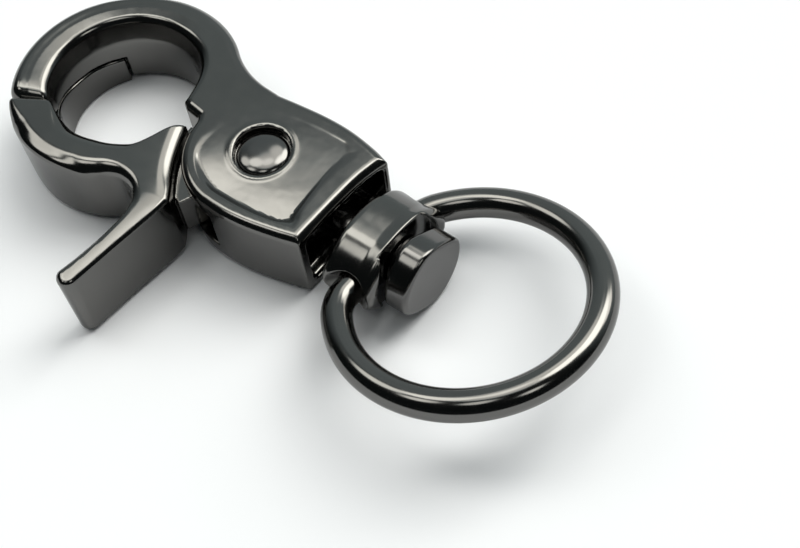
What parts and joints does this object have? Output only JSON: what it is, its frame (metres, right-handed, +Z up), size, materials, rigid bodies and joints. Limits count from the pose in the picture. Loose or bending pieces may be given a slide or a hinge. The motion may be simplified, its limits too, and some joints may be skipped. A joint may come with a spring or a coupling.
{
  "type": "swivel trigger snap hook",
  "caption": "Swivel lobster clasp: round hook closed by a sprung thumb lever, with a wire ring on a turning oval collar, in dark gunmetal plating.",
  "frame": {"origin": "centre of the hook's round opening, at half the thickness", "axes": "+X along the swivel axis from the hook to the ring, +Y towards the hook's spine, +Z up through the opening, out of the face that lies up"},
  "size_m": [0.065, 0.0325, 0.0096],
  "materials": {
    "gunmetal": "dark gunmetal plating over a zinc casting, polished, with slight casting ripple",
    "gunmetal_wire": "dark gunmetal plating over steel wire, polished",
    "gunmetal_rivet": "dark gunmetal plating over a turned steel pin, polished",
    "spring_steel": "plain spring wire"
  },
  "bodies": {
    "hook": {"body": "gunmetal", "lever_rivet": "gunmetal_rivet", "torsion_spring": "spring_steel", "swivel_stud": "gunmetal_rivet"},
    "lever": {"lever": "gunmetal"},
    "collar": {"collar": "gunmetal"},
    "ring": {"ring": "gunmetal_wire"}
  },
  "joints": [
    {"name": "lever_hinge", "type": "hinge", "parent": "hook", "child": "lever", "pos_m": [0.01725, 0.00055, 0], "axis": [0, 0, 1], "range_deg": [0, 20], "stiffness_Nm_per_rad": 0.2, "springref_deg": -14.32},
    {"name": "swivel", "type": "hinge", "parent": "hook", "child": "collar", "pos_m": [0.0285, 0.0001, 0], "axis": [1, 0, 0], "continuous": true},
    {"name": "ring_pivot", "type": "hinge", "parent": "collar", "child": "ring", "pos_m": [0.03143, 0.0001, 0], "axis": [0, 0.9962, -0.0872], "range_deg": [-100, 120]}
  ]
}
